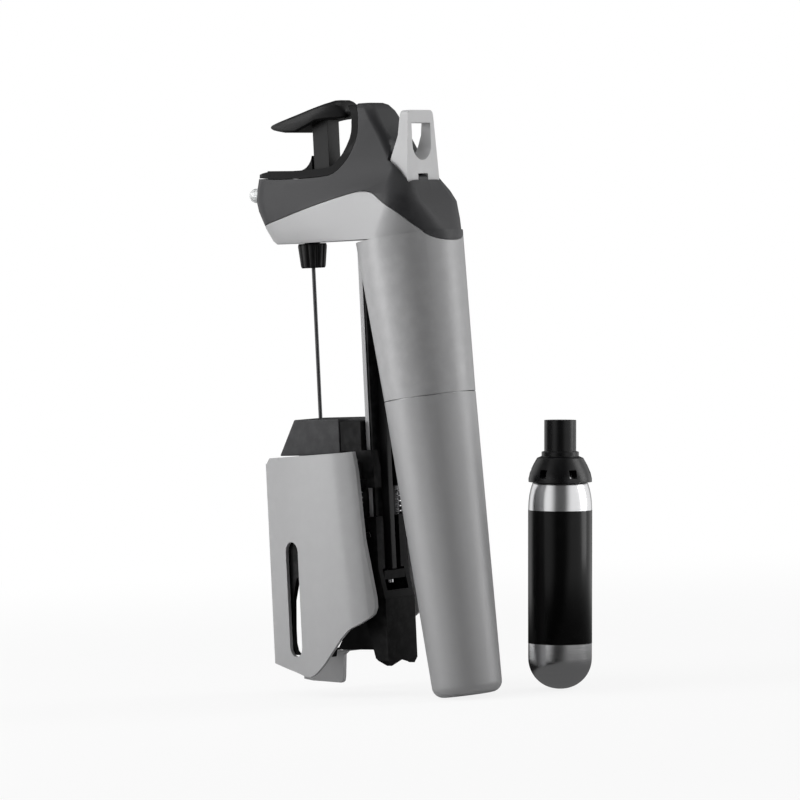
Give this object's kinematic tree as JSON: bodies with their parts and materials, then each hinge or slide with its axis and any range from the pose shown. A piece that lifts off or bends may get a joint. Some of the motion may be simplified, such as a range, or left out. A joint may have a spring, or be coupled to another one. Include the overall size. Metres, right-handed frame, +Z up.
{
  "type": "wine preservation dispenser",
  "caption": "Hand-held wine preserving dispenser: hooked head with trigger, needle and spout, leaning handle, sliding clamp with sprung jaws, and a loose gas capsule beside it.",
  "frame": {"origin": "centre of the flat foot of the handle", "axes": "+Z up along the needle and the rail, -Y towards the pour spout, +X to the device's left as it is held with the spout forward"},
  "size_m": [0.0747, 0.1363, 0.2467],
  "materials": {
    "light_grey": "satin silver-grey, lightly textured",
    "rail_grey": "satin grey",
    "lock_grey": "smooth light grey",
    "cover_grey": "dark grey, fine texture",
    "black": "black, satin",
    "capsule_black": "black, smooth",
    "steel": "bright",
    "capsule_steel": "satin, turned",
    "aluminium": "machined",
    "brass": "machined",
    "rubber": "matte black",
    "clear": "milky clear"
  },
  "bodies": {
    "body": {"body_shell": "light_grey", "top_cover": "cover_grey", "trigger_frame": "black", "trigger_pin": "steel", "trigger_spring": "steel", "lock_pin": "steel", "needle_seal": "rubber", "needle_block": "black", "valve_spring": "steel", "block_screw_left": "steel", "block_screw_right": "steel", "pour_spout": "clear", "pour_tube": "clear", "gas_tube": "clear", "regulator_body": "black", "piercing_pin": "steel", "capsule_seal": "rubber", "threaded_collar": "aluminium", "cup_seal": "rubber", "rail": "rail_grey", "rail_strip_left": "black", "rail_strip_right": "black", "rail_stop": "black", "stop_screw": "steel"},
    "trigger": {"trigger": "black"},
    "valve": {"valve_stem": "brass"},
    "lock": {"trigger_lock": "lock_grey"},
    "needle_set": {"needle_knob": "black", "needle": "steel"},
    "cup_insert": {"cup_cushion": "rubber"},
    "cup": {"handle_cup": "light_grey"},
    "gas_capsule": {"capsule": "capsule_steel", "capsule_cap": "capsule_black"},
    "carriage": {"carriage": "black", "guide_block": "cover_grey", "guide_bush": "black", "brake_pad": "rubber", "side_screw_left": "steel", "side_screw_right": "steel", "jaw_pin_left": "steel", "jaw_pin_right": "steel", "jaw_spring_left": "steel", "jaw_spring_right": "steel"},
    "jaw_left": {"jaw_shell_left": "light_grey", "jaw_liner_left": "black", "jaw_pad_left": "rubber"},
    "jaw_right": {"jaw_shell_right": "light_grey", "jaw_liner_right": "black", "jaw_pad_right": "rubber"},
    "spare": {"spare_capsule": "capsule_steel", "spare_capsule_cap": "capsule_black"}
  },
  "joints": [
    {"name": "trigger_press", "type": "hinge", "parent": "body", "child": "trigger", "pos_m": [0, -0.0311, 0.237], "axis": [1, 0, 0], "range_deg": [0, 5], "stiffness_Nm_per_rad": 0.2, "springref_deg": -5.73},
    {"name": "valve_travel", "type": "slide", "parent": "body", "child": "valve", "axis": [0, 0, -1], "range_m": [0, 0.003], "deforming": ["valve_spring"]},
    {"name": "lock_swing", "type": "hinge", "parent": "body", "child": "lock", "pos_m": [0, -0.0123, 0.2108], "axis": [-1, 0, 0], "range_deg": [0, 50]},
    {"name": "needle_turn", "type": "hinge", "parent": "body", "child": "needle_set", "pos_m": [0, -0.0696, 0.177], "axis": [0, 0, 1], "continuous": true},
    {"name": "carriage_slide", "type": "slide", "parent": "body", "child": "carriage", "axis": [0, 0, 1], "range_m": [0, 0.06]},
    {"name": "jaw_left_swing", "type": "hinge", "parent": "carriage", "child": "jaw_left", "pos_m": [-0.0134, -0.0422, 0.08], "axis": [0, 0, -1], "range_deg": [-5, 10], "stiffness_Nm_per_rad": 0.05},
    {"name": "jaw_right_swing", "type": "hinge", "parent": "carriage", "child": "jaw_right", "pos_m": [0.0134, -0.0422, 0.08], "axis": [0, 0, 1], "range_deg": [0, 15], "stiffness_Nm_per_rad": 0.05, "springref_deg": -17.19},
    {"name": "cup_pull", "type": "slide", "parent": "body", "child": "cup_insert", "axis": [0, 0.1011, -0.9949], "range_m": [0, 0.12]},
    {"name": "cup_turn", "type": "hinge", "parent": "cup_insert", "child": "cup", "pos_m": [0, 0, 0], "axis": [0, 0.1011, -0.9949], "range_deg": [0, 540]},
    {"name": "capsule_lift", "type": "slide", "parent": "cup_insert", "child": "gas_capsule", "axis": [0, -0.1011, 0.9949], "range_m": [0, 0.07]},
    {"name": "spare_lift", "type": "slide", "parent": "body", "child": "spare", "axis": [0, 0, 1], "range_m": [0, 0.08]}
  ],
  "couplings": [
    {"joint": "valve_travel", "follows": "trigger_press", "m_per_rad": 0.0338},
    {"joint": "capsule_lift", "follows": "cup_pull", "ratio": 0.583}
  ]
}
